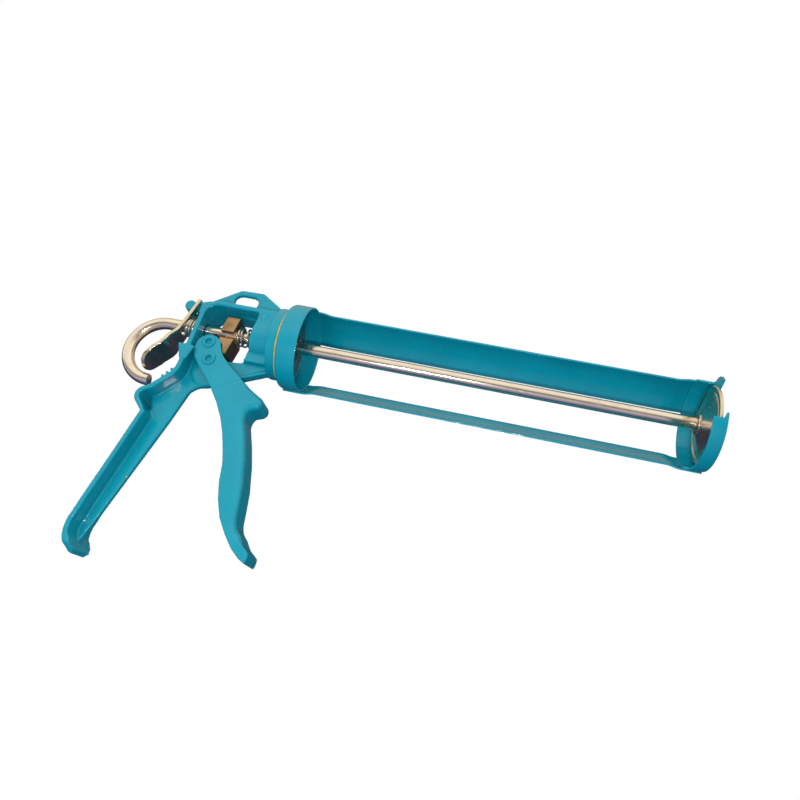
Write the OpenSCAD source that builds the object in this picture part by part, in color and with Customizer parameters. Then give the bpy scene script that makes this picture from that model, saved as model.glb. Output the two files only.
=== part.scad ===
// Rotating-cradle caulking gun for rigid cartridges.
// X runs forward along the plunger rod, Z is up and the grip hangs toward -Z.
// The origin is the centre of the cartridge seat, on the inner face of the rear cup.

/* [Cradle] */
// Outer diameter of the rear cup
cup_d = 53; // [52:0.5:56]
// Sheet thickness of the cup, rails and front ring
sheet_t = 1.2; // [1:0.1:1.5]
// Depth of the rear cup from the seat to its lip
cup_depth = 11.4; // [10:0.2:18]
// Distance from the seat to the inner face of the front plate
cradle_len = 251; // [235:1:265]
// Depth of the far band behind the front plate
band_depth = 9.5; // [7:0.5:12]
// Depth of the near band, which ends at the nozzle slot
near_band_depth = 6.5; // [4:0.5:7]
// Width of the nozzle slot in the front plate
nozzle_slot_w = 24; // [18:1:28]
// Arc covered by the wide rail, in degrees
wide_rail_arc = 56; // [45:1:70]
// Arc covered by the narrow rail, in degrees
narrow_rail_arc = 38; // [25:1:45]
// Turn of the cradle on the nose at rest, in degrees
cradle_turn = 0; // [-180:1:180]

/* [Plunger] */
// Diameter of the plunger rod
rod_d = 7.5; // [6.5:0.1:8]
// Mean radius of the pull hook
hook_r = 20; // [16:0.5:24]
// Angle through which the hook is bent, in degrees
hook_bend = 183; // [120:1:200]
// Diameter of the piston
piston_d = 46.5; // [42:0.5:48]

/* [Casting] */
// Thickness of the middle web
web_t = 3.4; // [3:0.1:5]
// Width of the rim round the mechanism window and of the palm flange
rim_w = 25; // [23:0.5:28]
// Thickness of the rim and the palm flange
rim_t = 3; // [2.5:0.1:4]
// Outer diameter of the nose boss
nose_d = 27; // [24:1:30]
// Outer diameter of the nose flange
flange_d = 45; // [42:1:50]
// Length of the hanging slot
hang_slot_l = 16; // [12:1:18]
// Width of the hanging slot
hang_slot_w = 9; // [7:0.5:10]

/* [Trigger] */
// Outer width of the trigger
trigger_w = 20; // [19:0.5:22]
// Wall thickness of the trigger
trigger_t = 2.4; // [2:0.1:3]
// Outer diameter of the hollow rivets
rivet_d = 6; // [5:0.1:6.4]

/* [Springs] */
// Wire diameter of both springs
wire_d = 1.3; // [1:0.1:1.5]
// Mean coil radius of both springs
coil_r = 5.6; // [5.2:0.1:6]

/* [Hidden] */

$fn = 64;
// Small overlap that joins solids of one node
lap = 0.5;
// Radial clearance of a running fit
run = 0.05;

cup_r = cup_d / 2;
rod_r = rod_d / 2;
rivet_r = rivet_d / 2;
rim_y = rim_w / 2;

// Directions round the rod, in degrees from +Z toward +Y
wide_rail_dir = 27;
narrow_rail_dir = 140;
nozzle_slot_dir = 292;
lip_dir = 328;
band_from = -10;
band_to = 160;
near_band_to = 258;

// Nose stack along X
boss_back = -22.5;
flange_back = -8.5;
seal_back = -2.6;
seal_front = -sheet_t - run;
spigot_r = 15;
retainer_r = 22;
retainer_t = 1.5;
screw_circle_r = 12;
screw_r = 1.4;
screw_head_r = 2.8;
bush_r = 6.5;
bush_flange_r = 9;
bush_flange_t = 1.6;
pocket_r = 7.4;
pocket_depth = 4.5;

// Trigger linkage in the X-Z plane
pivot = [-44, -22];
drive = [-48, -11];
pivot_boss_r = 6.2;
sleeve_r = 5.1;
side_gap = 0.3;
ear_step = 1;
ear_gap = trigger_w - 2 * trigger_t;

// Grip block on the rod
block_y = 7.2;
block_slot = [-5.4, -0.9];

// Release plate
plate_t = 2.4;
plate_w = 20;
fork_gap = web_t + 1.2;
hinge = [-65.5, 13.5];

// Springs along X
release_spring_front = -59.55;
release_spring_back = -67.15;
return_spring_back = -34.1;
return_spring_front = boss_back + pocket_depth;

// Piston along X
piston_back = cradle_len - 6.2;
piston_hub_r = 7;
piston_cone_r = 19.4;
piston_rim_front = cradle_len - 0.6;
piston_rim_t = 1.8;
washer_t = 0.8;
stud_r = 2.5;
stud_front = piston_back + 5.2;

// Points along an arc in the X-Z plane
function arc(c, r, from, to, n = 8) =
    [for (i = [0:n]) let (a = from + (to - from) * i / n) c + r * [cos(a), sin(a)]];

// Unit normal at point i of an open path
function normal_at(p, i) =
    let (a = p[max(i - 1, 0)], b = p[min(i + 1, len(p) - 1)], d = b - a)
    [-d[1], d[0]] / norm(d);

// Outline of a strip of thickness t along an open path, measured to its left side
function ribbon(p, t) = concat(
    p, [for (i = [len(p) - 1:-1:0]) p[i] + t * normal_at(p, i)]);

// An X-Z outline given the width w across Y
module across(w, y = 0) {
    translate([0, y + w / 2, 0]) rotate([90, 0, 0]) linear_extrude(w) children();
}

// A round bar along Y through an X-Z point
module pin(p, r, w, y = 0) {
    translate([p[0], y, p[1]]) rotate([90, 0, 0]) cylinder(r = r, h = w, center = true);
}

// A round bar along the rod axis
module axial(r, from, to) {
    translate([from, 0, 0]) rotate([0, 90, 0]) cylinder(r = r, h = to - from);
}

// A profile in (X, radius) turned about the rod axis, over an arc counted from +Z toward +Y
module turned(from = 0, span = 360) {
    rotate([0, 90, 0]) rotate([0, 0, 180 - from - span])
        rotate_extrude(angle = span) mirror([1, 0]) rotate(90) children();
}

// Centre of the hanging slot in the X-Z plane
hang_slot = [-37.5, 24.4];

// Rear face of the rim and the palm flange, from the nose down to the lip of the grip
rim_path = concat(
    [[-6, 16.4]],
    arc([-48.5, 5.9], 10.5, 90, 172, 7),
    [[-59.6, -9], [-60, -20], [-60.6, -31]],
    arc([-70, -30.5], 9.5, -12, -48, 4),
    [[-72, -46.8]],
    arc([-72.2, -54], 6.2, 112, 236, 8),
    [[-71, -63.6], [-77.4, -93], [-83.6, -120]],
    arc([-67, -135], 19.4, 160, 222, 6),
    [[-79, -149.6]]);

web_outline = concat(
    [[-6, 15], [-14, 24.5], [-28, 33], [-43, 32.4], [-64, 17.6], [-70.6, 18], [-75.4, 15], [-74, 11.6],
    [-62, 11.6], [-58.6, 8], [-58, 0], [-58.5, -30], [-66, -43], [-73, -52], [-68, -66], [-83, -128], [-83, -140],
    [-81, -144], [-76.5, -130], [-57, -63.5]],
    arc([-41, -50.5], 13, 146, 98, 6),
    [[-22, -28.4], [-8, -21.9], [-8, -6]]);

// Opening round the rod, the grip block and the drive sleeve
window_outline = concat(
    [[-21.5, 4], [-21.5, 12]],
    arc([-48, 6], 7.6, 90, 174, 6),
    [[-56, -9], [-56.4, -18.5], [-37, -18.6], [-26.5, -17.8], [-24, -14], [-22.6, -8]]);

module web() {
    across(web_t) difference() {
        polygon(web_outline);
        polygon(window_outline);
        for (s = [-1, 1]) translate(hang_slot + s * [hang_slot_l - hang_slot_w, 0] / 2)
            circle(d = hang_slot_w);
        translate(hang_slot) square([hang_slot_l - hang_slot_w, hang_slot_w], center = true);
    }
}

// Die casting of web, rim, palm flange, nose and lugs, before drilling
module casting_body() {
    web();
    across(rim_w) polygon(ribbon(rim_path, rim_t));
    across(rim_w) polygon([[-22, 4], [-22, 15], [-6, 15], [-6, 4]]);
    // Bead along the lower arm
    across(6.4) polygon([[-40, -36.2], [-22, -28.4], [-6, -21], [-6, -18.8], [-22, -26.2], [-40, -34]]);
    // Foot of the nose on the lower arm
    across(12) polygon([[-22.8, -8], [-24.2, -17.8], [-8, -17.8], [-8, -8]]);
    pin(pivot, pivot_boss_r, ear_gap - 2 * side_gap);
    // Round pad behind the trigger ears
    pin(pivot + [-1, -5.5], 10, web_t + 2);
    axial(nose_d / 2, boss_back, flange_back + lap);
    axial(flange_d / 2, flange_back, seal_back);
    axial(spigot_r - run, seal_back - lap, run);
    // Horn behind the release plate and the block in front of it
    pin([-72, 14.6], 3.6, 6.4);
    across(13) polygon([[-63.2, 9], [-63.2, 16.5], [-57.5, 18.5], [-52, 15], [-56, 8]]);
    // Gussets on both edges of the rear wall
    for (s = [-1, 1]) across(2, s * (rim_y - 1))
        polygon([[-65, -16.2], [-54, -16.8], [-56.2, -25], [-61, -26]]);
    // Lip that closes the foot of the grip
    across(rim_w) polygon([[-84.8, -141], [-81, -149], [-78.6, -149.8], [-77.8, -147.6], [-81.6, -140.6]]);
}

module handle_casting() {
    color("teal") difference() {
        casting_body();
        axial(bush_r, boss_back - 1, 1);
        axial(pocket_r, boss_back - 1, boss_back + pocket_depth);
        axial(rod_r + 0.9, -64, -52);
        pin(pivot, rivet_r + run, rim_w);
        screw_places(-6.1) cylinder(r = screw_r, h = 8);
        // Corners taken off the foot of the grip
        for (s = [-1, 1]) forward(-95, 30) polygon([[s * 14, -144.5], [s * 12.6, -144.5],
            [s * 5, -151], [s * 14, -151]]);
    }
}

// Side outline of the trigger, ears included
trigger_outline = concat(
    arc([-47.6, -14], 8.2, 190, 10, 10),
    [[-37.6, -16.2], [-35.4, -18.8], [-31, -22.8], [-21, -30], [-13, -35.6], [-5.6, -39.6]],
    arc([-6.8, -43.8], 4.4, 70, -60, 8),
    arc([-2, -53.6], 8, 146, 196, 4),
    [[-5.6, -66], [-1.6, -78], [2.2, -93], [3.8, -104], [4.8, -112]],
    arc([16, -110.6], 11.2, 190, 236, 4),
    [[13.2, -125], [17.6, -128.2], [18, -130.6], [17.2, -134.2], [12.8, -132]],
    [[7.4, -127.8], [1.4, -121], [-4, -113.6], [-8.4, -104], [-11.4, -94], [-13, -84]],
    [[-15.6, -76], [-19, -67], [-23.6, -57.4], [-29.8, -48], [-38, -38], [-47.6, -28.8], [-53.4, -22.4], [-55.4, -18.4]]);

// Inside of the trigger channel, open toward the grip and above the step line
trigger_channel = concat(
    [[-60, 0], [-30, 0], [-12, -26], [-24, -33.6], [-19, -37.4], [-11, -41.6]],
    [[-11.4, -48], [-13, -55], [-9.4, -66], [-5.2, -79], [-1.6, -93], [0.6, -106], [3.4, -116]],
    [[7.6, -123.4], [13.6, -129.4], [11.4, -140], [-10, -130], [-26, -100], [-34, -70], [-60, -40]]);

module trigger() {
    color("teal") difference() {
        across(trigger_w) polygon(trigger_outline);
        across(ear_gap) polygon(trigger_channel);
        for (p = [pivot, drive]) pin(p, rivet_r, trigger_w + 2);
        // Ears lie a little below the sides of the lever
        for (s = [-1, 1]) across(2 * ear_step, s * trigger_w / 2)
            polygon([[-60, 0], [-20, 0], [-12, -26.8], [-35.6, -41.6], [-60, -30]]);
    }
}

// Hollow rivet with a rolled head on both ears
module hollow_rivet(p) {
    head_r = rivet_r + 1.2;
    head_y = trigger_w / 2 - ear_step;
    difference() {
        union() {
            pin(p, rivet_r, 2 * head_y);
            for (s = [-1, 1]) pin(p, head_r, 1, s * (head_y + 0.5));
        }
        for (s = [-1, 1]) pin(p, rivet_r - 1, 3, s * (head_y + 0.6));
    }
}

module pivot_rivet() { color("teal") hollow_rivet(pivot); }
module drive_rivet() { color("teal") hollow_rivet(drive); }

// Hardened sleeve on the drive rivet that pushes the grip block
module drive_sleeve() {
    color("dimgray") difference() {
        pin(drive, sleeve_r, ear_gap - 2 * side_gap);
        pin(drive, rivet_r, ear_gap + 1);
    }
}

// Side outline of the grip block: it leans forward and steps forward below the rod
block_outline = [[-42.9, 9.2], [-34.4, 9.2], [-35.8, 0], [-34.2, -5.8], [-36.2, -15.8],
    [-40.6, -16.2], [-43.4, -5.4], [-44.4, -1]];

// Grip block: the rod shows through a slot in its near face
module grip_block() {
    color("tan") difference() {
        across(2 * block_y) polygon(block_outline);
        axial(rod_r + run, -48, -30);
        translate([-48, -block_y - 1, block_slot[0]])
            cube([18, block_y + 1, block_slot[1] - block_slot[0]]);
    }
}

// Stand-in for a coil spring: one ring for each turn on a thin core
module coil(from, to, turns, r) {
    pitch = (to - from - wire_d) / turns;
    for (i = [0:turns]) translate([from + wire_d / 2 + i * pitch, 0, 0]) rotate([0, 90, 0])
        rotate_extrude() translate([r, 0]) circle(d = wire_d, $fn = 16);
    difference() {
        axial(r + wire_d * 0.2, from + wire_d / 2, to - wire_d / 2);
        axial(r - wire_d * 0.2, from, to);
    }
}

module return_spring() { color("silver") coil(return_spring_back, return_spring_front, 6, coil_r); }
module release_spring() { color("silver") coil(release_spring_back, release_spring_front, 4, coil_r); }

// Front face of the release plate, from the fork to the thumb tab
plate_path = concat(
    [[-64.2, 18], [-66.6, 9], [-69, 0.6], [-71.4, -6.4]],
    arc([-87, -10.6], 13, -2, -40, 4),
    [[-80.6, -22.8]],
    arc([-72, -32.6], 12.4, 138, 192, 5));

// Release plate: a forked thumb lever that hangs on the casting and locks the rod
module release_plate() {
    color("burlywood") difference() {
        intersection() {
            across(plate_w + 2) polygon(ribbon(plate_path, -plate_t));
            plate_front_shape();
        }
        across(fork_gap) polygon([[-60, 10.2], [-60, 20], [-72, 20], [-72, 10.2]]);
        for (dz = [-1, 0, 1]) translate([0, 0, dz]) axial(rod_r + 0.5, -76, -64);
    }
}

module plate_front_shape() {
    r = plate_w / 2;
    tab_z = -23.2;
    forward(-95, 40) {
        polygon([[-6.4, 18], [-6.4, -4], [-r, -15], [-r, tab_z], [r, tab_z], [r, -15], [6.4, -4], [6.4, 18]]);
        translate([0, tab_z]) circle(r = r);
    }
}

// Plunger rod: straight rod, pull hook and the stud for the piston
module plunger_rod() {
    color("gainsboro") {
        axial(rod_r, -81, piston_back - washer_t);
        axial(stud_r, piston_back - 2, stud_front);
        translate([-81, 0, -hook_r]) rotate([90, 0, 0]) rotate([0, 0, 90])
            rotate_extrude(angle = hook_bend) translate([hook_r, 0]) circle(r = rod_r);
    }
}

module piston_washer() {
    color("silver") difference() {
        axial(6.2, piston_back - washer_t, piston_back);
        axial(stud_r, piston_back - 3, piston_back + 3);
    }
}

// Piston: a pressed cone whose flat rim wipes the cartridge
module piston_disc() {
    r = piston_d / 2;
    t = sheet_t;
    rim_back = piston_rim_front - piston_rim_t;
    color("silver") turned() polygon([
        [piston_back, stud_r], [piston_back, piston_hub_r], [rim_back + 0.3, piston_cone_r],
        [rim_back + 0.6, piston_cone_r + 0.5], [rim_back, piston_cone_r + 1], [rim_back, r],
        [piston_rim_front, r], [piston_rim_front, piston_cone_r],
        [piston_rim_front - 0.3, piston_cone_r - 0.8], [piston_back + t, piston_hub_r - 0.6],
        [piston_back + t, stud_r]]);
}

module piston_nut() {
    color("silver") difference() {
        axial(5, piston_back + sheet_t, stud_front - 0.6, $fn = 6);
        axial(stud_r, piston_back - 1, piston_back + 8);
    }
}

module rod_bush() {
    color("dimgray") difference() {
        union() {
            axial(bush_r, boss_back + pocket_depth, 0);
            axial(bush_flange_r, retainer_t, retainer_t + bush_flange_t);
            axial(bush_r, -1, retainer_t + 1);
        }
        axial(rod_r + run, boss_back, 10);
    }
}

module seal_ring() {
    color("gold") difference() {
        axial(flange_d / 2 + 0.8, seal_back, seal_front);
        axial(spigot_r - run, seal_back - 1, 0);
    }
}

// Retainer plate that holds the cup on the nose
module retainer_plate() {
    color("dimgray") difference() {
        axial(retainer_r, run, retainer_t);
        axial(bush_r, -1, retainer_t + 1);
        screw_places(-1) cylinder(r = screw_r, h = 8);
    }
}

// The four screws of the retainer plate, drawn forward from x
module screw_places(x) {
    for (a = [45:90:315]) rotate([a, 0, 0]) translate([x, 0, screw_circle_r])
        rotate([0, 90, 0]) children();
}

module retainer_screws() {
    color("silver") {
        screw_places(-6) cylinder(r = screw_r, h = 8);
        screw_places(retainer_t) cylinder(r = screw_head_r, h = 1.4);
    }
}

module rear_cup() {
    color("teal") rotate([-cradle_turn, 0, 0]) difference() {
        axial(cup_r, -sheet_t, cup_depth);
        axial(cup_r - sheet_t, 0, cup_depth + 1);
        axial(spigot_r, -sheet_t - 1, 1);
    }
}

// A pressed rail whose ends step outward over the cup and the front band
module rail(dir, span, back, front) {
    inner = cup_r - sheet_t;
    t = sheet_t;
    step = sheet_t * 2.5;
    color("teal") rotate([-cradle_turn, 0, 0]) turned(dir - span / 2, span) polygon([
        [back, inner + t], [cup_depth + 1, inner + t], [cup_depth + 1 + step, inner],
        [cradle_len - band_depth - 1 - step, inner], [cradle_len - band_depth - 1, inner + t],
        [front, inner + t], [front, inner + 2 * t], [cradle_len - band_depth - 1.4, inner + 2 * t],
        [cradle_len - band_depth - 1.4 - step, inner + t], [cup_depth + 1.4 + step, inner + t],
        [cup_depth + 1.4, inner + 2 * t], [back, inner + 2 * t]]);
}

module wide_rail() { rail(wide_rail_dir, wide_rail_arc, 4, cradle_len - 1); }
module narrow_rail() { rail(narrow_rail_dir, narrow_rail_arc, 0, cradle_len + sheet_t); }

// A Y-Z outline drawn forward from x
module forward(x, length) {
    translate([x, 0, 0]) rotate([90, 0, 90]) linear_extrude(length) children();
}

// Everything between two directions round the rod axis
module sector(from, to) {
    reach = 2 * cup_r;
    polygon(concat([[0, 0]], [for (i = [0:4]) let (a = from + (to - from) * i / 4)
        reach * [sin(a), cos(a)]]));
}

module nozzle_slot() {
    rotate(90 - nozzle_slot_dir) {
        circle(d = nozzle_slot_w);
        translate([0, -nozzle_slot_w / 2]) square([cup_r + 2, nozzle_slot_w]);
    }
}

// Part of the front ring's wall between two directions
module band(depth, from, to) {
    forward(cradle_len - depth, depth + lap) difference() {
        circle(r = cup_r);
        circle(r = cup_r - sheet_t);
        sector(to, from + 360);
    }
}

// Front ring: two stretches of band with the slotted plate that holds the cartridge nozzle
module front_ring() {
    color("teal") rotate([-cradle_turn, 0, 0]) {
        band(band_depth, band_from, band_to);
        band(near_band_depth, band_to - 10, near_band_to);
        forward(cradle_len, sheet_t) difference() {
            union() {
                circle(r = cup_r);
                // Raised lip beside the slot
                rotate(90 - lip_dir) translate([cup_r - 6.6, 0]) circle(r = 9);
            }
            nozzle_slot();
        }
    }
}

handle_casting();
trigger();
pivot_rivet();
drive_rivet();
drive_sleeve();
grip_block();
return_spring();
release_plate();
release_spring();
plunger_rod();
piston_washer();
piston_disc();
piston_nut();
rod_bush();
seal_ring();
retainer_plate();
retainer_screws();
rear_cup();
wide_rail();
narrow_rail();
front_ring();
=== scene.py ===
"""Caulking gun with a turning cradle: the finished look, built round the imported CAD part.

X runs forward along the plunger rod, Z is up and the near side is -Y. Lengths in profiles are millimetres.
"""

import math

import bmesh
import bpy
from mathutils import Matrix, Vector


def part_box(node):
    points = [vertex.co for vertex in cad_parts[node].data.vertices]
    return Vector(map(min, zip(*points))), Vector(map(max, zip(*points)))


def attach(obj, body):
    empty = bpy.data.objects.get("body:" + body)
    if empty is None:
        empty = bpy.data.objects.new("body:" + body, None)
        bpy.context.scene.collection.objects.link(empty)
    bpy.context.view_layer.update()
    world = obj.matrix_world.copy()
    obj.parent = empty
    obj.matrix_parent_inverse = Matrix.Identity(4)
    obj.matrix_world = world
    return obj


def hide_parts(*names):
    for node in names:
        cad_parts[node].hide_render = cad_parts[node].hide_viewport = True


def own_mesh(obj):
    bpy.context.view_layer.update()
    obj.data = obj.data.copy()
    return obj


bl_info = {
    "name": "Caulking gun",
    "version": (1, 0, 0),
    "blender": (4, 5, 0),
    "location": "View3D > Sidebar > Caulking gun",
    "description": "Builds the finished pieces of a caulking gun round its CAD frame",
    "category": "Object",
}

MM = 0.001
# Points closer than this are one point, in metres
SMALL = 1e-6

# Lengths in millimetres that several pieces share
SPIGOT_R = 15.0
STUD_R = 2.4
STUD_HOLE_R = 2.5
RIVET_HOLE_R = 3.0
SCREW_CIRCLE_R = 12.0
SHEET_EDGE = 0.35

# Piece, node, direction and arc of each rail, in degrees from +Z toward +Y
RAILS = (
    ("wide_strip", "wide_rail", 27.0, 56.0),
    ("narrow_strip", "narrow_rail", 140.0, 38.0),
)

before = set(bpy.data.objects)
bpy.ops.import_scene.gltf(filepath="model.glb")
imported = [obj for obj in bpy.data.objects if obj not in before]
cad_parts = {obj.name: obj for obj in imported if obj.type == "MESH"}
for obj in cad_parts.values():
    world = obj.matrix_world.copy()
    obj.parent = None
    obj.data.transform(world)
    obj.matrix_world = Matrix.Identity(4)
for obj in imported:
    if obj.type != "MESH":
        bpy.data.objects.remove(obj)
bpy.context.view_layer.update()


def span(node, axis):
    """Lowest and highest coordinate of a CAD node along one axis, in millimetres."""
    low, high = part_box(node)
    return low[axis] / MM, high[axis] / MM


def radius_of(node, axis=1):
    """Half the width of a round CAD node along one axis, in millimetres."""
    low, high = span(node, axis)
    return (high - low) / 2


def centre_of(node):
    """X and Z of the middle of a CAD node, in millimetres."""
    low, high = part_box(node)
    return (low.x + high.x) / 2 / MM, (low.z + high.z) / 2 / MM


# ------------------------------------------------------------------ settings


class GunSizes(bpy.types.PropertyGroup):
    """Sizes of the finished pieces."""

    casting_grain: bpy.props.FloatProperty(
        name="Casting grain", description="Voxel size of the cast handle's skin",
        default=0.0006, min=0.0005, max=0.002, unit="LENGTH", precision=5)
    trigger_grain: bpy.props.FloatProperty(
        name="Trigger grain", description="Voxel size of the trigger's skin",
        default=0.0005, min=0.0004, max=0.002, unit="LENGTH", precision=5)
    plate_grain: bpy.props.FloatProperty(
        name="Release plate grain", description="Voxel size of the release plate's skin",
        default=0.0004, min=0.0003, max=0.001, unit="LENGTH", precision=5)
    trigger_round: bpy.props.FloatProperty(
        name="Trigger rounding", description="Radius along the front of the trigger",
        default=0.0032, min=0.001, max=0.005, unit="LENGTH", precision=4)
    sheet: bpy.props.FloatProperty(
        name="Sheet thickness", description="Thickness of the cup, rails and front ring",
        default=0.0012, min=0.0008, max=0.002, unit="LENGTH", precision=4)
    wire: bpy.props.FloatProperty(
        name="Spring wire", description="Wire diameter of both springs",
        default=0.0013, min=0.0008, max=0.002, unit="LENGTH", precision=4)


class GunColours(bpy.types.PropertyGroup):
    """Colours of the finishes, in linear values."""

    enamel: bpy.props.FloatVectorProperty(
        name="Enamel", description="Teal enamel", subtype="COLOR", size=4,
        default=(0.0, 0.258, 0.350, 1.0), min=0.0, max=1.0)
    # Darker tone of the enamel: the mottling blends toward it at random, and in corners it is painted shade.
    enamel_mottle_and_shade: bpy.props.FloatVectorProperty(
        name="Deep enamel", description="Enamel that has settled in corners", subtype="COLOR", size=4,
        default=(0.0, 0.170, 0.245, 1.0), min=0.0, max=1.0)
    bare: bpy.props.FloatVectorProperty(
        name="Bare metal", description="Metal that shows through chips", subtype="COLOR", size=4,
        default=(0.52, 0.42, 0.28, 1.0), min=0.0, max=1.0)
    rod: bpy.props.FloatVectorProperty(
        name="Rod steel", description="Drawn steel of the rod and hook", subtype="COLOR", size=4,
        default=(0.95, 0.87, 0.76, 1.0), min=0.0, max=1.0)
    plate: bpy.props.FloatVectorProperty(
        name="Plated steel", description="Plating of the release plate", subtype="COLOR", size=4,
        default=(0.86, 0.74, 0.56, 1.0), min=0.0, max=1.0)
    block: bpy.props.FloatVectorProperty(
        name="Tempered steel", description="Straw temper of the grip block", subtype="COLOR", size=4,
        default=(0.50, 0.33, 0.18, 1.0), min=0.0, max=1.0)
    seal: bpy.props.FloatVectorProperty(
        name="Seal", description="Yellow seal ring", subtype="COLOR", size=4,
        default=(0.72, 0.44, 0.015, 1.0), min=0.0, max=1.0)


def sizes():
    """Sizes set in the scene."""
    return bpy.context.scene.gun_sizes


def colours():
    """Colours set in the scene."""
    return bpy.context.scene.gun_colours


# ------------------------------------------------------------------ shader groups


def new_group(name, inputs, outputs):
    """An empty shader node group with named sockets, and its input and output nodes."""
    group = bpy.data.node_groups.new(name, "ShaderNodeTree")
    for label, kind, default in inputs:
        socket = group.interface.new_socket(name=label, in_out="INPUT", socket_type=kind)
        socket.default_value = default
    for label, kind in outputs:
        group.interface.new_socket(name=label, in_out="OUTPUT", socket_type=kind)
    return group, group.nodes.new("NodeGroupInput"), group.nodes.new("NodeGroupOutput")


def add_node(tree, kind, settings=(), **links):
    """A node with its settings, and its inputs set to values or linked to sockets."""
    node = tree.nodes.new(kind)
    for key, value in dict(settings).items():
        setattr(node, key, value)
    for key, value in links.items():
        socket = node.inputs[int(key[1:]) if key[0] == "i" and key[1:].isdigit() else key]
        if isinstance(value, bpy.types.NodeSocket):
            tree.links.new(value, socket)
        else:
            socket.default_value = value
    return node


def noise(tree, vector, scale, detail=3.0, roughness=0.5):
    """Value of a noise texture."""
    node = add_node(tree, "ShaderNodeTexNoise", Vector=vector, Scale=scale, Detail=detail,
                    Roughness=roughness)
    return node.outputs["Fac"]


def remap(tree, value, low, high, to_low=0.0, to_high=1.0):
    """A value carried smoothly from one range to another."""
    node = add_node(tree, "ShaderNodeMapRange", {"interpolation_type": "SMOOTHSTEP"},
                    i0=value, i1=low, i2=high, i3=to_low, i4=to_high)
    return node.outputs[0]


def math_of(tree, operation, a, b=0.0):
    """Result of one arithmetic step on two values."""
    return add_node(tree, "ShaderNodeMath", {"operation": operation}, i0=a, i1=b).outputs[0]


def mix_colour(tree, factor, a, b):
    """Colour a where the factor is 0 and colour b where it is 1."""
    node = add_node(tree, "ShaderNodeMix", {"data_type": "RGBA"}, i0=factor, i6=a, i7=b)
    return node.outputs[2]


def object_place(tree):
    """Place on the piece, in metres."""
    return tree.nodes.new("ShaderNodeTexCoord").outputs["Object"]


def enamel_group():
    """Enamel: painted shade that darkens the corners, thin rubbed edges, faint mottling and orange peel."""
    group, start, end = new_group("Enamel", [
        ("Paint", "NodeSocketColor", (0, 0.2, 0.3, 1)), ("Settled", "NodeSocketColor", (0, 0.1, 0.2, 1)),
        ("Bare", "NodeSocketColor", (0.5, 0.4, 0.3, 1)), ("Curvature", "NodeSocketFloat", 0.5),
        ("Wear", "NodeSocketFloat", 0.5), ("Peel Scale", "NodeSocketFloat", 500.0),
        ("Chips", "NodeSocketFloat", 0.0)],
        [("Color", "NodeSocketColor"), ("Roughness", "NodeSocketFloat"), ("Metallic", "NodeSocketFloat"),
         ("Height", "NodeSocketFloat")])
    place = object_place(group)
    mottle_and_shade_tone = start.outputs["Settled"]
    mottle = remap(group, noise(group, place, scale=38.0, detail=4.0, roughness=0.55), low=0.3, high=0.75)
    # Painted shade: where the surface is hollow (pointiness below one half), the paint is darkened toward the
    # darker tone.
    corner = remap(group, start.outputs["Curvature"], low=0.40, high=0.497, to_low=1.0, to_high=0.0)
    mottle_share = math_of(group, "MULTIPLY", mottle, 0.35)
    painted_shade_share = math_of(group, "MULTIPLY", corner, 0.85)
    paint = mix_colour(group, mottle_share, start.outputs["Paint"], mottle_and_shade_tone)
    paint = mix_colour(group, painted_shade_share, paint, mottle_and_shade_tone)
    edge = remap(group, start.outputs["Curvature"], low=0.56, high=0.66)
    ragged = remap(group, noise(group, place, scale=420.0, detail=5.0, roughness=0.7), low=0.56, high=0.66)
    rubbed = math_of(group, "MULTIPLY", math_of(group, "MULTIPLY", edge, ragged), start.outputs["Wear"])
    chips = math_of(group, "MAXIMUM", rubbed, start.outputs["Chips"])
    colour = mix_colour(group, chips, paint, start.outputs["Bare"])
    haze = remap(group, noise(group, place, scale=90.0, detail=3.0, roughness=0.6),
                 low=0.3, high=0.8, to_low=0.20, to_high=0.36)
    rough = math_of(group, "ADD", haze, math_of(group, "MULTIPLY", chips, 0.2))
    peel = add_node(group, "ShaderNodeTexNoise", Vector=place, Scale=start.outputs["Peel Scale"], Detail=2.0)
    height = math_of(group, "SUBTRACT", peel.outputs["Fac"], math_of(group, "MULTIPLY", chips, 2.0))
    group.links.new(colour, end.inputs["Color"])
    group.links.new(rough, end.inputs["Roughness"])
    group.links.new(math_of(group, "MULTIPLY", chips, 0.85), end.inputs["Metallic"])
    group.links.new(height, end.inputs["Height"])
    return group


def chip_group():
    """A ragged chipped patch round one point of the piece."""
    group, start, end = new_group("Chipped patch", [
        ("Centre", "NodeSocketVector", (0, 0, 0)), ("Radius", "NodeSocketFloat", 0.002)],
        [("Mask", "NodeSocketFloat")])
    place = object_place(group)
    away = add_node(group, "ShaderNodeVectorMath", {"operation": "DISTANCE"},
                    i0=place, i1=start.outputs["Centre"])
    share = math_of(group, "DIVIDE", away.outputs["Value"], start.outputs["Radius"])
    grain = noise(group, place, scale=900.0, detail=4.0, roughness=0.7)
    ragged = math_of(group, "ADD", share, math_of(group, "MULTIPLY", grain, 1.3))
    mask = remap(group, ragged, low=1.02, high=1.12, to_low=1.0, to_high=0.0)
    group.links.new(mask, end.inputs["Mask"])
    return group


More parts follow.
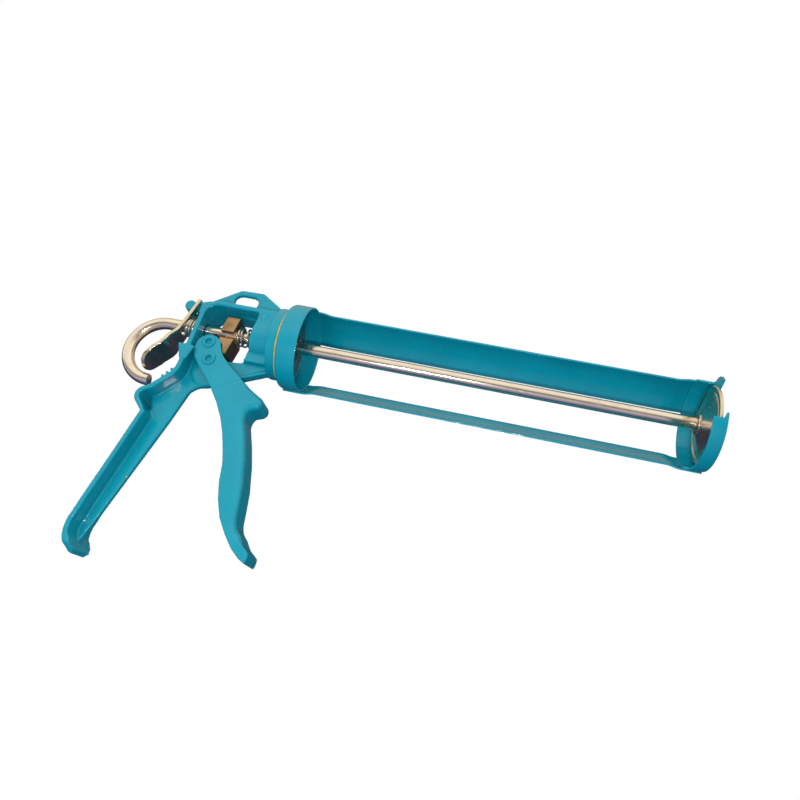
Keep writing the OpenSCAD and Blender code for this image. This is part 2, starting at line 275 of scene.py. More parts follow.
def drawn_group():
    """Drawn or ground metal: fine lines along one axis, with soft stains of a second tint."""
    group, start, end = new_group("Drawn metal", [
        ("Metal", "NodeSocketColor", (0.7, 0.7, 0.7, 1)), ("Tint", "NodeSocketColor", (0.5, 0.4, 0.3, 1)),
        ("Line Scale", "NodeSocketVector", (20, 900, 900)), ("Smoothest", "NodeSocketFloat", 0.15),
        ("Roughest", "NodeSocketFloat", 0.4), ("Stains", "NodeSocketFloat", 0.5)],
        [("Color", "NodeSocketColor"), ("Roughness", "NodeSocketFloat"), ("Height", "NodeSocketFloat")])
    place = object_place(group)
    stretched = add_node(group, "ShaderNodeVectorMath", {"operation": "MULTIPLY"},
                         i0=place, i1=start.outputs["Line Scale"]).outputs["Vector"]
    lines = noise(group, stretched, scale=1.0, detail=3.0, roughness=0.6)
    stains = remap(group, noise(group, place, scale=110.0, detail=4.0, roughness=0.6), low=0.5, high=0.78)
    scratch = remap(group, lines, low=0.52, high=0.72, to_low=0.0, to_high=0.5)
    tint = math_of(group, "MULTIPLY", math_of(group, "MAXIMUM", stains, scratch), start.outputs["Stains"])
    colour = mix_colour(group, tint, start.outputs["Metal"], start.outputs["Tint"])
    group.links.new(colour, end.inputs["Color"])
    rough = add_node(group, "ShaderNodeMapRange", i0=math_of(group, "MAXIMUM", lines, stains),
                     i1=0.35, i2=0.85, i3=start.outputs["Smoothest"], i4=start.outputs["Roughest"])
    group.links.new(rough.outputs[0], end.inputs["Roughness"])
    group.links.new(lines, end.inputs["Height"])
    return group


def group_node(tree, name, build, **links):
    """A shader group in a material; the group is built the first time it is asked for."""
    group = bpy.data.node_groups.get(name) or build()
    node = tree.nodes.new("ShaderNodeGroup")
    node.node_tree = group
    for key, value in links.items():
        socket = node.inputs[key.replace("_", " ")]
        if isinstance(value, bpy.types.NodeSocket):
            tree.links.new(value, socket)
        else:
            socket.default_value = value
    return node


def new_material(name, **constants):
    """A material with a plain Principled BSDF whose constant sockets are set directly."""
    material = bpy.data.materials.new(name)
    material.use_nodes = True
    shader = material.node_tree.nodes["Principled BSDF"]
    for key, value in constants.items():
        shader.inputs[key.replace("_", " ")].default_value = value
    return material, material.node_tree, shader


def bump(tree, shader, height, distance):
    """Relief of the given depth in metres."""
    node = add_node(tree, "ShaderNodeBump", Height=height, Distance=distance, Strength=1.0)
    tree.links.new(node.outputs["Normal"], shader.inputs["Normal"])


def enamel_material(name, wear, chips=(), peel_scale=520.0):
    """Teal enamel with rubbed edges, and chips given as centres and radii in metres."""
    material, tree, shader = new_material(
        name, Coat_Weight=0.5, Coat_Roughness=0.03, Specular_IOR_Level=0.2)
    patch = 0.0
    for centre, radius in chips:
        mask = group_node(tree, "Chipped patch", chip_group, Centre=centre, Radius=radius).outputs["Mask"]
        patch = mask if patch == 0.0 else math_of(tree, "MAXIMUM", patch, mask)
    curvature = tree.nodes.new("ShaderNodeNewGeometry").outputs["Pointiness"]
    paint = group_node(tree, "Enamel", enamel_group, Paint=colours().enamel,
                       Settled=colours().enamel_mottle_and_shade, Bare=colours().bare, Curvature=curvature, Wear=wear,
                       Peel_Scale=peel_scale, Chips=patch)
    tree.links.new(paint.outputs["Color"], shader.inputs["Base Color"])
    tree.links.new(paint.outputs["Roughness"], shader.inputs["Roughness"])
    tree.links.new(paint.outputs["Metallic"], shader.inputs["Metallic"])
    bump(tree, shader, paint.outputs["Height"], distance=0.00006)
    return material


def metal_material(name, metal, tint, lines, smoothest, roughest, stains, relief=0.00002):
    """Drawn, ground or plated metal with a stained second tint."""
    material, tree, shader = new_material(name, Metallic=1.0)
    drawn = group_node(tree, "Drawn metal", drawn_group, Metal=metal, Tint=tint, Line_Scale=lines,
                       Smoothest=smoothest, Roughest=roughest, Stains=stains)
    tree.links.new(drawn.outputs["Color"], shader.inputs["Base Color"])
    tree.links.new(drawn.outputs["Roughness"], shader.inputs["Roughness"])
    bump(tree, shader, drawn.outputs["Height"], relief)
    return material


def plastic_material(name, colour, dull, roughness):
    """Moulded plastic: slight tone change and a fine moulded grain."""
    material, tree, shader = new_material(name, Roughness=roughness)
    place = object_place(tree)
    tone = remap(tree, noise(tree, place, scale=160.0, detail=4.0, roughness=0.6), low=0.35, high=0.7)
    tree.links.new(mix_colour(tree, tone, colour, dull), shader.inputs["Base Color"])
    bump(tree, shader, noise(tree, place, scale=800.0), distance=0.00004)
    return material


# ------------------------------------------------------------------ shapes


def turned(profile, corner=0.3, start=0.0, arc=360.0, steps=96):
    """A closed (x, radius) profile spun about the rod axis, from a direction counted from +Z toward +Y."""
    bm = bmesh.new()
    bm.faces.new([bm.verts.new((x * MM, 0.0, r * MM)) for x, r in profile])
    if corner:
        bmesh.ops.bevel(bm, geom=bm.verts[:], offset=corner * MM, offset_type="OFFSET", affect="VERTICES",
                        segments=3, profile=0.5, material=-1, clamp_overlap=True)
    bmesh.ops.delete(bm, geom=bm.faces[:], context="FACES_ONLY")
    turn_about(bm, "X", -start)
    whole = arc == 360.0
    bmesh.ops.spin(bm, geom=bm.verts[:] + bm.edges[:], cent=(0, 0, 0), axis=(-1, 0, 0),
                   angle=math.radians(arc), steps=steps, use_merge=whole)
    bmesh.ops.remove_doubles(bm, verts=bm.verts[:], dist=SMALL)
    if not whole:
        rims = [e for e in bm.edges if e.is_boundary]
        bmesh.ops.holes_fill(bm, edges=rims, sides=0)
    bmesh.ops.recalc_face_normals(bm, faces=bm.faces[:])
    return bm


def turn_about(bm, axis, degrees):
    """Turns a shape about an axis through the origin."""
    bmesh.ops.rotate(bm, verts=bm.verts[:], cent=(0, 0, 0),
                     matrix=Matrix.Rotation(math.radians(degrees), 3, axis))


def round_edges(bm, edges, width, segments=3):
    """Rounds the given edges of a mesh."""
    bmesh.ops.bevel(bm, geom=list(edges), offset=width * MM, offset_type="OFFSET", affect="EDGES",
                    segments=segments, profile=0.5, material=-1, clamp_overlap=True)


def sharp_edges(bm, degrees):
    """Edges whose faces meet at more than the given angle."""
    limit = math.radians(degrees)
    return [e for e in bm.edges if len(e.link_faces) == 2 and e.calc_face_angle(0.0) > limit]


def cad_shape(node, flatten=True):
    """A merged copy of a CAD node's mesh, with its flat faces joined."""
    bm = bmesh.new()
    bm.from_mesh(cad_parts[node].data)
    bmesh.ops.remove_doubles(bm, verts=bm.verts[:], dist=SMALL)
    if flatten:
        bmesh.ops.dissolve_limit(bm, angle_limit=math.radians(0.6), verts=bm.verts[:], edges=bm.edges[:])
    return bm


def upright(bm, x, z):
    """Turns a shape from the rod axis onto an axis along Y through an X-Z point."""
    turn_about(bm, "Z", 90)
    bmesh.ops.translate(bm, verts=bm.verts[:], vec=(x * MM, 0, z * MM))
    return bm


def take_in(bm, other):
    """Adds another mesh to this one."""
    scratch = bpy.data.meshes.new("scratch")
    other.to_mesh(scratch)
    other.free()
    bm.from_mesh(scratch)
    bpy.data.meshes.remove(scratch)


def place_piece(name, bm, body, material, nodes=(), crease=None):
    """Makes the mesh an object that rides on a body and stands for its CAD nodes."""
    mesh = bpy.data.meshes.new(name)
    bm.to_mesh(mesh)
    bm.free()
    mesh.shade_smooth()
    if crease:
        mesh.set_sharp_from_angle(angle=math.radians(crease))
    mesh.materials.append(material)
    piece = bpy.data.objects.new(name, mesh)
    bpy.context.scene.collection.objects.link(piece)
    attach(piece, body)
    if nodes:
        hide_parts(*nodes)
    return piece


def cast_skin(piece, grain, passes):
    """A skin of small even faces whose edges and corners are softened, as on a casting."""
    skin = piece.modifiers.new("Skin", "REMESH")
    skin.mode = "VOXEL"
    skin.voxel_size = grain
    skin.use_smooth_shade = True
    soften = piece.modifiers.new("Soften", "SMOOTH")
    soften.factor = 0.5
    soften.iterations = passes


# ------------------------------------------------------------------ pieces


def build_casting():
    """Cast handle with a softened skin and thumb ribs."""
    bm = cad_shape("handle_casting", flatten=False)
    take_in(bm, thumb_ribs())
    chips = [((-0.0683, -0.0017, -0.1015), 0.0014), ((-0.0775, -0.0125, -0.093), 0.0012)]
    enamel = enamel_material("cast enamel", wear=0.35, chips=chips)
    piece = place_piece("cast_handle", bm, "frame", enamel, ["handle_casting"])
    cast_skin(piece, sizes().casting_grain, passes=2)


def thumb_ribs():
    """Three ribs across the thumb rest."""
    half_w, r = 12.3, 0.8
    first_x, first_z = -62.6, -34.4
    step_x, step_z = -1.9, -2.6
    bm = bmesh.new()
    for step in range(3):
        rib = turned([(-half_w, 0.0), (-half_w, r), (half_w, r), (half_w, 0.0)], corner=0.2, steps=12)
        take_in(bm, upright(rib, first_x + step_x * step, first_z + step_z * step))
    return bm


def build_casting_mark():
    """Thin raised ring beside the nose, on the near side of the rim."""
    sunk, proud = -0.2, 0.25
    inner, outer = 2.2, 2.6
    x, z = -18.2, 11.2
    rim_y = -12.5
    ring = turned([(sunk, inner), (sunk, outer), (proud, outer), (proud, inner)], corner=0.1, steps=40)
    upright(ring, x, z)
    bmesh.ops.translate(ring, verts=ring.verts[:], vec=(0, rim_y * MM, 0))
    place_piece("cast_mark", ring, "frame", enamel_material("mark enamel", wear=0.2))


def build_trigger():
    """Trigger whose front edges are rounded right round the finger stop."""
    bm = cad_shape("trigger")
    side = (span("trigger", 1)[1] - 0.1) * MM
    above_tip = (span("trigger", 2)[0] + 9.0) * MM
    front = []
    for edge in sharp_edges(bm, 60.0):
        flat, other = sorted((face.normal for face in edge.link_faces), key=lambda normal: -abs(normal.y))
        on_side = all(abs(vert.co.y) > side for vert in edge.verts)
        faces_front = abs(flat.y) > 0.95 and other.x > 0.1
        if on_side and faces_front and min(vert.co.z for vert in edge.verts) > above_tip:
            front.append(edge)
    bmesh.ops.bevel(bm, geom=front, offset=sizes().trigger_round, offset_type="OFFSET", affect="EDGES",
                    segments=4, profile=0.5, material=-1, clamp_overlap=False)
    bmesh.ops.triangulate(bm, faces=bm.faces[:])
    enamel = enamel_material("trigger enamel", wear=0.3)
    piece = place_piece("trigger_lever", bm, "trigger", enamel, ["trigger"])
    cast_skin(piece, sizes().trigger_grain, passes=3)


def build_rivet(name, node):
    """Hollow rivet with a rolled head and a dimple on both ears."""
    x, z = centre_of(node)
    head = span(node, 1)[1]
    collar = radius_of(node, axis=2)
    half = [(0.0, 0.0), (head - 2.4, 0.0), (head - 2.1, 1.5), (head - 0.5, 1.9), (head + 0.05, 2.5),
            (head + 0.05, 3.2), (head - 0.35, collar), (head - 1.0, collar), (head - 1.0, 2.9), (0.0, 2.9)]
    bm = bmesh.new()
    for sign in (-1, 1):
        take_in(bm, turned([(sign * y, r) for y, r in half], corner=0.16, steps=48))
    upright(bm, x, z)
    bmesh.ops.remove_doubles(bm, verts=bm.verts[:], dist=SMALL)
    enamel = enamel_material(name + " enamel", wear=0.9)
    place_piece(name, bm, "trigger", enamel, [node], crease=50)


def build_sleeve():
    """Dark sleeve on the drive rivet."""
    x, z = centre_of("drive_sleeve")
    low, high = span("drive_sleeve", 1)
    outer = radius_of("drive_sleeve", axis=2)
    ring = [(low, RIVET_HOLE_R), (low, outer), (high, outer), (high, RIVET_HOLE_R)]
    bm = upright(turned(ring, steps=48), x, z)
    steel = metal_material("sleeve steel", (0.16, 0.14, 0.13, 1), (0.05, 0.04, 0.04, 1),
                           lines=(900, 30, 900), smoothest=0.25, roughest=0.5, stains=0.5)
    place_piece("push_sleeve", bm, "trigger", steel, ["drive_sleeve"], crease=40)


def build_grip_block():
    """Straw-tempered block that grips the rod."""
    bm = cad_shape("grip_block")
    round_edges(bm, sharp_edges(bm, 25.0), width=0.35)
    steel = metal_material("temper steel", colours().block, (0.26, 0.15, 0.08, 1),
                           lines=(420, 420, 60), smoothest=0.28, roughest=0.5, stains=0.7, relief=0.00004)
    place_piece("rod_grip_block", bm, "grip_block", steel, ["grip_block"], crease=35)


def coil_shape(back, front, turns, coil_r, wire_r, lean=0.0):
    """A compression spring with a closed turn at each end.

    Lean tips its back end: it is how far the coil moves forward for each unit of height.
    """
    steps = 36
    closed_gap = 1.03
    dead = 2 * wire_r * closed_gap
    middle = (front - back - 2 * wire_r - 2 * dead) / (turns - 2)
    bm = bmesh.new()
    facing = Matrix.Rotation(math.radians(90), 4, "X")
    start = Matrix.Translation(((back + wire_r) * MM, 0, coil_r * MM)) @ facing
    bmesh.ops.create_circle(bm, segments=12, radius=wire_r * MM, matrix=start)
    last = bm.verts[:] + bm.edges[:]
    for pitch, count in ((dead, 1), (middle, turns - 2), (dead, 1)):
        last = bmesh.ops.spin(bm, geom=last, cent=(0, 0, 0), axis=(1, 0, 0), dvec=(pitch / steps * MM, 0, 0),
                              angle=math.radians(360) * count, steps=int(steps * count))["geom_last"]
    bmesh.ops.remove_doubles(bm, verts=bm.verts[:], dist=SMALL)
    bmesh.ops.holes_fill(bm, edges=[e for e in bm.edges if e.is_boundary], sides=0)
    bmesh.ops.recalc_face_normals(bm, faces=bm.faces[:])
    for vert in bm.verts:
        share = 1 - (vert.co.x / MM - back) / (front - back)
        vert.co.x += lean * share * (vert.co.z - coil_r * MM)
    return bm


def build_springs():
    """Return spring of the grip block and spring of the release plate."""
    wire_r = sizes().wire / MM / 2
    steel = metal_material("spring steel", (0.78, 0.74, 0.66, 1), (0.45, 0.33, 0.16, 1),
                           lines=(300, 300, 300), smoothest=0.12, roughest=0.3, stains=0.6)
    low, high = span("return_spring", 0)
    coil_r = radius_of("return_spring") - wire_r
    bm = coil_shape(low, high, turns=5, coil_r=coil_r, wire_r=wire_r)
    piece = place_piece("return_coil", bm, "frame", steel, ["return_spring"])
    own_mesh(piece)
    low, high = span("release_spring", 0)
    bm = coil_shape(low, high, turns=4, coil_r=coil_r, wire_r=wire_r, lean=0.2)
    piece = place_piece("release_coil", bm, "frame", steel, ["release_spring"])
    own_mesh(piece)


def build_release_plate():
    """Plated thumb lever."""
    bm = cad_shape("release_plate", flatten=False)
    steel = metal_material("release plating", colours().plate, (0.55, 0.42, 0.24, 1),
                           lines=(120, 500, 120), smoothest=0.12, roughest=0.3, stains=0.45)
    piece = place_piece("release_lever", bm, "release_plate", steel, ["release_plate"])
    cast_skin(piece, sizes().plate_grain, passes=4)


def build_rod():
    """Rod with its pull hook, chamfered at both ends, and the stud for the piston."""
    rod_r = radius_of("plunger_rod")
    low, high = span("plunger_rod", 2)
    hook_r = (high - low) / 2 - rod_r
    hook_bend = 183
    bend_x = span("plunger_rod", 0)[0] + rod_r + hook_r
    front = span("piston_washer", 0)[0]
    across = Matrix.Translation((front * MM, 0, 0)) @ Matrix.Rotation(math.radians(90), 4, "Y")
    bm = bmesh.new()
    bmesh.ops.create_circle(bm, segments=40, radius=rod_r * MM, matrix=across)
    grown = bmesh.ops.extrude_edge_only(bm, edges=bm.edges[:])["geom"]
    ring = [v for v in grown if isinstance(v, bmesh.types.BMVert)]
    bmesh.ops.translate(bm, verts=ring, vec=((bend_x - front) * MM, 0, 0))
    edges = [e for e in grown if isinstance(e, bmesh.types.BMEdge)]
    end = ring + [e for e in edges if all(v in ring for v in e.verts)]
    bmesh.ops.spin(bm, geom=end, cent=(bend_x * MM, 0, -hook_r * MM), axis=(0, -1, 0),
                   angle=math.radians(hook_bend), steps=64)
    bmesh.ops.remove_doubles(bm, verts=bm.verts[:], dist=SMALL)
    bmesh.ops.holes_fill(bm, edges=[e for e in bm.edges if e.is_boundary], sides=0)
    bmesh.ops.recalc_face_normals(bm, faces=bm.faces[:])
    round_edges(bm, sharp_edges(bm, 60.0), width=0.7, segments=2)
    stud_front = span("plunger_rod", 0)[1]
    stud = [(front - 1, 0.0), (front - 1, STUD_R), (stud_front, STUD_R), (stud_front, 0.0)]
    take_in(bm, turned(stud, corner=0.5, steps=32))
    steel = metal_material("drawn rod", colours().rod, (0.48, 0.40, 0.30, 1),
                           lines=(14, 700, 700), smoothest=0.10, roughest=0.32, stains=0.35)
    place_piece("plunger_rod_hook", bm, "plunger", steel, ["plunger_rod"], crease=35)


def build_piston():
    """Pressed piston with its washer and nut."""
    zinc = metal_material("piston zinc", (0.84, 0.72, 0.56, 1), (0.45, 0.38, 0.30, 1),
                          lines=(60, 60, 60), smoothest=0.14, roughest=0.34, stains=0.4)
    back, front = span("piston_disc", 0)
    r = radius_of("piston_disc")
    t = sizes().sheet / MM
    cone_r = 19.4
    hub_r = 7.6
    rim_back = front - 1.8
    rear_face = [(back, STUD_HOLE_R), (back, hub_r - 1.0), (back + 0.5, hub_r), (rim_back + 0.2, cone_r),
                 (rim_back + 0.6, cone_r + 0.5), (rim_back, cone_r + 1.1), (rim_back, r - 0.5)]
    front_face = [(rim_back + 0.5, r), (front, r), (front, cone_r), (front - 0.3, cone_r - 0.8),
                  (back + t, hub_r - 1.2), (back + t, STUD_HOLE_R)]
    dish = turned(rear_face + front_face, corner=0.2, steps=128)
    place_piece("piston_dish", dish, "plunger", zinc, ["piston_disc"], crease=50)
    back, front = span("piston_washer", 0)
    washer_r = 6.2
    washer = turned([(back, STUD_HOLE_R), (back, washer_r), (front, washer_r), (front, STUD_HOLE_R)], steps=48)
    place_piece("rod_washer", washer, "plunger", zinc, ["piston_washer"], crease=40)
    nut = cad_shape("piston_nut")
    round_edges(nut, sharp_edges(nut, 40.0), width=0.35, segments=2)
    place_piece("stud_nut", nut, "plunger", zinc, ["piston_nut"], crease=35)


def build_seal():
    """Yellow ring between the nose and the cup."""
    back, front = span("seal_ring", 0)
    r = radius_of("seal_ring")
    ring = [(back, SPIGOT_R), (back, r), (front, r), (front, SPIGOT_R)]
    plastic = plastic_material("seal plastic", colours().seal, (0.42, 0.25, 0.01, 1), roughness=0.3)
    place_piece("yellow_ring", turned(ring, corner=0.4, steps=128), "frame", plastic,
                ["seal_ring"], crease=60)


def build_bush():
    """Bearing bush of the rod, flanged in front of the retainer."""
    back, front = span("rod_bush", 0)
    bore = radius_of("plunger_rod") + 0.05
    body_r, flange_r = 6.45, 9.0
    flange_back = 1.55
    profile = [(back, bore), (back, body_r), (flange_back, body_r), (flange_back, flange_r),
               (front - 0.5, flange_r), (front, flange_r - 0.8), (front, bore)]
    plastic = plastic_material("bush plastic", (0.02, 0.02, 0.022, 1), (0.05, 0.045, 0.04, 1), roughness=0.45)
    place_piece("bearing_bush", turned(profile, corner=0.25, steps=64), "frame", plastic,
                ["rod_bush"], crease=50)


def build_retainer():
    """Dark plate that holds the cup on the nose, and its four domed screws."""
    steel = metal_material("retainer steel", (0.34, 0.27, 0.22, 1), (0.16, 0.12, 0.10, 1),
                           lines=(70, 90, 90), smoothest=0.25, roughest=0.5, stains=0.8)
    front = span("retainer_plate", 0)[1]
    outer, inner = radius_of("retainer_plate"), 6.5
    back = 0.05
    plate = turned([(back, inner), (back, outer), (front, outer), (front, inner)], steps=96)
    place_piece("cup_retainer", plate, "frame", steel, ["retainer_plate"], crease=50)
    dome = [(front - 0.6, 0.0), (front - 0.6, 3.2), (front + 0.25, 3.2), (front + 0.35, 2.6),
            (front + 1.1, 1.9), (front + 1.5, 0.9), (front + 1.55, 0.0)]
    heads = bmesh.new()
    for angle in (45, 135, 225, 315):
        head = turned(dome, corner=0.25, steps=32)
        bmesh.ops.translate(head, verts=head.verts[:], vec=(0, 0, SCREW_CIRCLE_R * MM))
        turn_about(head, "X", angle)
        take_in(heads, head)
    place_piece("retainer_heads", heads, "frame", steel, ["retainer_screws"], crease=60)


def sheet_enamel(name, chips=()):
    """Enamel of the pressed sheet parts, with a coarser orange peel."""
    return enamel_material(name, wear=0.5, chips=chips, peel_scale=420.0)


def build_cup():
    """Pressed cup that the cartridge stands in."""
    back, front = span("rear_cup", 0)
    outer = radius_of("rear_cup")
    t = sizes().sheet / MM
    inner = outer - t
    outside = [(back, SPIGOT_R), (back, outer - 1.8), (back + 0.5, outer - 0.6), (back + 1.8, outer),
               (front, outer)]
    inside = [(front, inner), (back + t + 1.0, inner), (back + t, inner - 1.0), (back + t, SPIGOT_R)]
    cup = turned(outside + inside, corner=SHEET_EDGE, steps=160)
    enamel = sheet_enamel("cup enamel")
    place_piece("cradle_cup", cup, "cradle", enamel, ["rear_cup"], crease=60)


def rail_profile(back, front, cup_front, ring_back, inner, t):
    """A strip that lies inside the cup's radius between its stepped ends."""
    step = 9.0
    gap = 0.6
    slope = [(0.0, 0.0), (0.25, 0.12), (0.5, 0.5), (0.75, 0.88), (1.0, 1.0)]
    fall = [(cup_front + gap + step * x, inner + t - t * y) for x, y in slope]
    rise = [(ring_back - gap - step + step * x, inner + t * y) for x, y in slope]
    under = [(back, inner + t)] + fall + rise + [(front, inner + t)]
    return under + [(x, r + t) for x, r in reversed(under)]


def build_rails():
    """Wide and narrow strips from the cup to the front ring."""
    cup_r = radius_of("rear_cup")
    t = sizes().sheet / MM
    cup_front = span("rear_cup", 0)[1]
    ring_back = span("front_ring", 0)[0]
    for name, node, direction, arc in RAILS:
        back, front = span(node, 0)
        profile = rail_profile(back, front, cup_front, ring_back, cup_r - t, t)
        bm = turned(profile, corner=0.0, start=direction - arc / 2, arc=arc, steps=32)
        round_edges(bm, sharp_edges(bm, 50.0), SHEET_EDGE)
        place_piece(name, bm, "cradle", sheet_enamel(name + " enamel"), [node], crease=60)


def build_front_ring():
    """Band and slotted plate that hold the cartridge's nozzle end."""
    bm = cad_shape("front_ring")
    round_edges(bm, sharp_edges(bm, 50.0), SHEET_EDGE)
    enamel = sheet_enamel("ring enamel", [((0.2445, -0.005, -0.0243), 0.0030)])
    place_piece("nozzle_ring", bm, "cradle", enamel, ["front_ring"], crease=40)


# ------------------------------------------------------------------ stage


def build_floor():
    """Pale floor that is seamless to the camera and lets the studio's lower light through."""
    half_size, floor_z = 12.0, -0.32
    bm = bmesh.new()
    bmesh.ops.create_grid(bm, x_segments=1, y_segments=1, size=half_size)
    mesh = bpy.data.meshes.new("floor")
    bm.to_mesh(mesh)
    bm.free()
    material = bpy.data.materials.new("pale floor")
    material.use_nodes = True
    tree = material.node_tree
    tree.nodes.clear()
    ray = tree.nodes.new("ShaderNodeLightPath").outputs["Is Camera Ray"]
    clear = tree.nodes.new("ShaderNodeBsdfTransparent").outputs[0]
    pale = add_node(tree, "ShaderNodeEmission", Color=(1, 1, 1, 1), Strength=1.0).outputs[0]
    choice = add_node(tree, "ShaderNodeMixShader", i0=ray, i1=clear, i2=pale).outputs[0]
    add_node(tree, "ShaderNodeOutputMaterial", Surface=choice)
    mesh.materials.append(material)
    floor = bpy.data.objects.new("floor", mesh)
    floor.location.z = floor_z
    bpy.context.scene.collection.objects.link(floor)


# Light that matt surfaces get from below and from above
DOME_LOW = (0.28, 0.45, 0.54, 1)
DOME_HIGH = (0.76, 0.73, 0.67, 1)

# Light that polished surfaces see, by turn about the rod from the near horizon up and over
STUDIO_RING = (
    (-180, (0.030, 0.035, 0.070)),
    (-130, (0.000, 0.030, 0.050)),
    (-95, (0.100, 0.090, 0.220)),
    (-65, (0.360, 0.330, 0.400)),
    (-35, (0.500, 0.480, 0.480)),
    (-12, (0.160, 0.130, 0.120)),
    (2, (0.500, 0.450, 0.400)),
    (20, (0.900, 0.840, 0.740)),
    (60, (1.000, 0.930, 0.780)),
    (85, (0.750, 0.650, 0.500)),
    (120, (0.500, 0.400, 0.300)),
    (145, (0.250, 0.200, 0.160)),
    (158, (0.040, 0.040, 0.070)),
    (180, (0.030, 0.035, 0.070)),
)


def build_world():
    """Studio light: a soft dome for matt surfaces and a banded ring for polished ones."""
    world = bpy.data.worlds.new("studio")
    world.use_nodes = True
    bpy.context.scene.world = world
    tree = world.node_tree
    back = tree.nodes["Background"]
    path = tree.nodes.new("ShaderNodeLightPath")
    sky = tree.nodes.new("ShaderNodeTexCoord").outputs["Generated"]
    way = add_node(tree, "ShaderNodeSeparateXYZ", Vector=sky)
    height = remap(tree, way.outputs["Z"], low=-0.6, high=0.6)
    dome = mix_colour(tree, height, DOME_LOW, DOME_HIGH)
    turn = math_of(tree, "ARCTAN2", way.outputs["Z"], math_of(tree, "MULTIPLY", way.outputs["Y"], -1.0))
    share = add_node(tree, "ShaderNodeMapRange", i0=turn, i1=-math.pi, i2=math.pi)
    ramp = add_node(tree, "ShaderNodeValToRGB", Fac=share.outputs[0])
    stops = ramp.color_ramp.elements
    stops[0].color = (*STUDIO_RING[0][1], 1)
    stops[1].color = (*STUDIO_RING[-1][1], 1)
    for angle, colour in STUDIO_RING[1:-1]:
        stops.new((angle + 180) / 360).color = (*colour, 1)
    seen = mix_colour(tree, path.outputs["Is Glossy Ray"], dome, ramp.outputs["Color"])
    tree.links.new(mix_colour(tree, path.outputs["Is Camera Ray"], seen, (1, 1, 1, 1)), back.inputs["Color"])
    back.inputs["Strength"].default_value = 1.0


def add_lamp(name, place, aim, size, power, tint=(1, 1, 1), mirrored=False):
    """An area lamp; only a mirrored one shows in polished surfaces."""
    data = bpy.data.lights.new(name, "AREA")
    data.shape = "RECTANGLE"
    data.size, data.size_y = size
    data.energy = power
    data.color = tint
    lamp = bpy.data.objects.new(name, data)
    lamp.location = place
    lamp.rotation_euler = (Vector(aim) - Vector(place)).to_track_quat("-Z", "Y").to_euler()
    lamp.visible_camera = False
    lamp.visible_glossy = mirrored
    bpy.context.scene.collection.objects.link(lamp)


def build_camera():
    """Camera below and in front of the near side."""
    data = bpy.data.cameras.new("camera")
    data.lens = 29.25
    data.sensor_width = 36.0
    camera = bpy.data.objects.new("camera", data)
    right = Vector((0.97163, 0.05399, 0.23037))
    up = Vector((-0.19109, -0.39512, 0.89855))
    back = Vector((0.1395, -0.91705, -0.37356))
    turn = Matrix((right, up, back)).transposed().to_4x4()
    camera.matrix_world = Matrix.Translation((0.12894, -0.35496, -0.16552)) @ turn
    data.clip_start = 0.01
    data.clip_end = 50.0
    bpy.context.scene.collection.objects.link(camera)
    bpy.context.scene.camera = camera


def build_stage():
    """Floor, studio light, lamps and camera."""
    build_floor()
    build_world()
    middle = (0.06, 0.0, -0.04)
    add_lamp("key", (0.0, -0.9, 0.35), middle, (0.8, 0.6), 3.0, (1.0, 0.97, 0.92))
    add_lamp("low key", (-0.35, -0.75, -0.35), middle, (0.6, 0.6), 2.2, (1.0, 0.98, 0.94))
    add_lamp("top", (0.05, -0.1, 0.9), middle, (1.0, 0.8), 3.0, (1.0, 0.96, 0.9))
    for x in (0.109, 0.164):
        add_lamp("sparkle", (x, -0.40, -0.24), middle, (0.030, 0.025), 0.45, mirrored=True)
    build_camera()
    bpy.context.scene.view_settings.view_transform = "Standard"


# ------------------------------------------------------------------ operators


class GUN_OT_casting(bpy.types.Operator):
    """Build the cast handle and its raised mark"""

    bl_idname = "gun.casting"
    bl_label = "Cast handle"

    def execute(self, context):
        build_casting()
        build_casting_mark()
        return {"FINISHED"}


class GUN_OT_trigger(bpy.types.Operator):
    """Build the trigger with its rivets and sleeve"""

    bl_idname = "gun.trigger"
    bl_label = "Trigger"

    def execute(self, context):
        build_trigger()
        build_rivet("pivot_hollow_rivet", "pivot_rivet")
        build_rivet("drive_hollow_rivet", "drive_rivet")
        build_sleeve()
        return {"FINISHED"}


class GUN_OT_grip(bpy.types.Operator):
    """Build the grip block, the springs and the release plate"""

    bl_idname = "gun.grip"
    bl_label = "Grip block, springs and release plate"

    def execute(self, context):
        build_grip_block()
        build_springs()
        build_release_plate()
        return {"FINISHED"}


class GUN_OT_plunger(bpy.types.Operator):
    """Build the plunger rod and the piston"""

    bl_idname = "gun.plunger"
    bl_label = "Plunger"

    def execute(self, context):
        build_rod()
        build_piston()
        return {"FINISHED"}


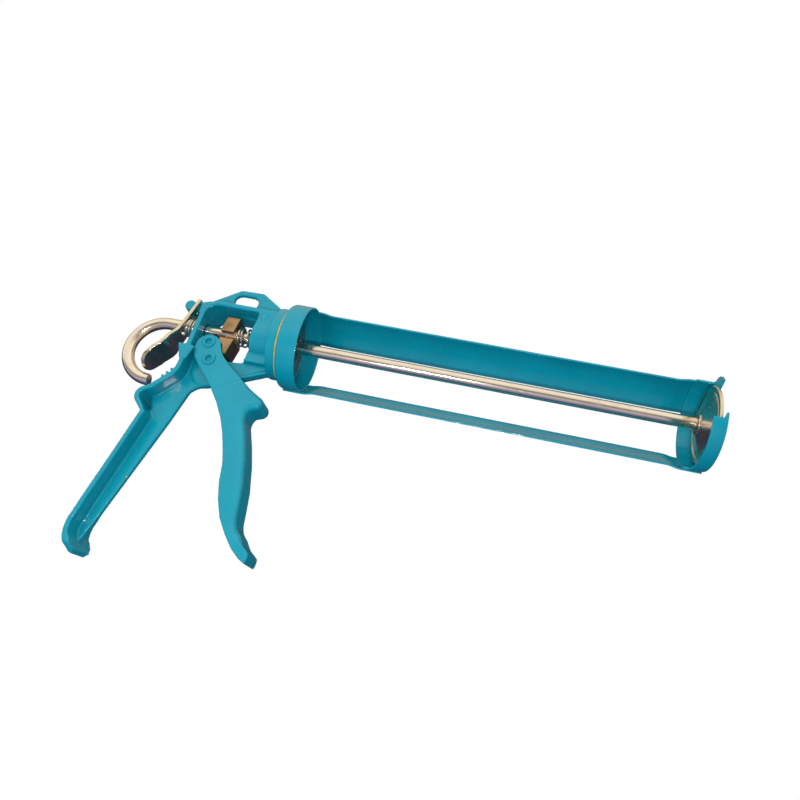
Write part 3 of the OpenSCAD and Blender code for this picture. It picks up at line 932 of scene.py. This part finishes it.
class GUN_OT_nose(bpy.types.Operator):
    """Build the fittings of the nose"""

    bl_idname = "gun.nose"
    bl_label = "Nose fittings"

    def execute(self, context):
        build_seal()
        build_bush()
        build_retainer()
        return {"FINISHED"}


class GUN_OT_cradle(bpy.types.Operator):
    """Build the turning cradle"""

    bl_idname = "gun.cradle"
    bl_label = "Cradle"

    def execute(self, context):
        build_cup()
        build_rails()
        build_front_ring()
        return {"FINISHED"}


class GUN_OT_stage(bpy.types.Operator):
    """Set the floor, the lights and the camera"""

    bl_idname = "gun.stage"
    bl_label = "Stage"

    def execute(self, context):
        build_stage()
        return {"FINISHED"}


OPERATORS = (
    GUN_OT_casting,
    GUN_OT_trigger,
    GUN_OT_grip,
    GUN_OT_plunger,
    GUN_OT_nose,
    GUN_OT_cradle,
    GUN_OT_stage,
)


class GUN_PT_panel(bpy.types.Panel):
    """Sidebar panel of the caulking gun"""

    bl_idname = "GUN_PT_panel"
    bl_label = "Caulking gun"
    bl_space_type = "VIEW_3D"
    bl_region_type = "UI"
    bl_category = "Caulking gun"

    def draw(self, context):
        for group in (context.scene.gun_sizes, context.scene.gun_colours):
            for key in group.bl_rna.properties.keys():
                if key not in ("rna_type", "name"):
                    self.layout.prop(group, key)
        for operator in OPERATORS:
            self.layout.operator(operator.bl_idname)


CLASSES = (GunSizes, GunColours, *OPERATORS, GUN_PT_panel)


def register():
    for cls in CLASSES:
        bpy.utils.register_class(cls)
    bpy.types.Scene.gun_sizes = bpy.props.PointerProperty(type=GunSizes)
    bpy.types.Scene.gun_colours = bpy.props.PointerProperty(type=GunColours)


def unregister():
    del bpy.types.Scene.gun_colours
    del bpy.types.Scene.gun_sizes
    for cls in reversed(CLASSES):
        bpy.utils.unregister_class(cls)


def main():
    """Builds everything."""
    register()
    for operator in (bpy.ops.gun.casting, bpy.ops.gun.trigger, bpy.ops.gun.grip, bpy.ops.gun.plunger,
                     bpy.ops.gun.nose, bpy.ops.gun.cradle, bpy.ops.gun.stage):
        operator()


if __name__ == "__main__":
    main()
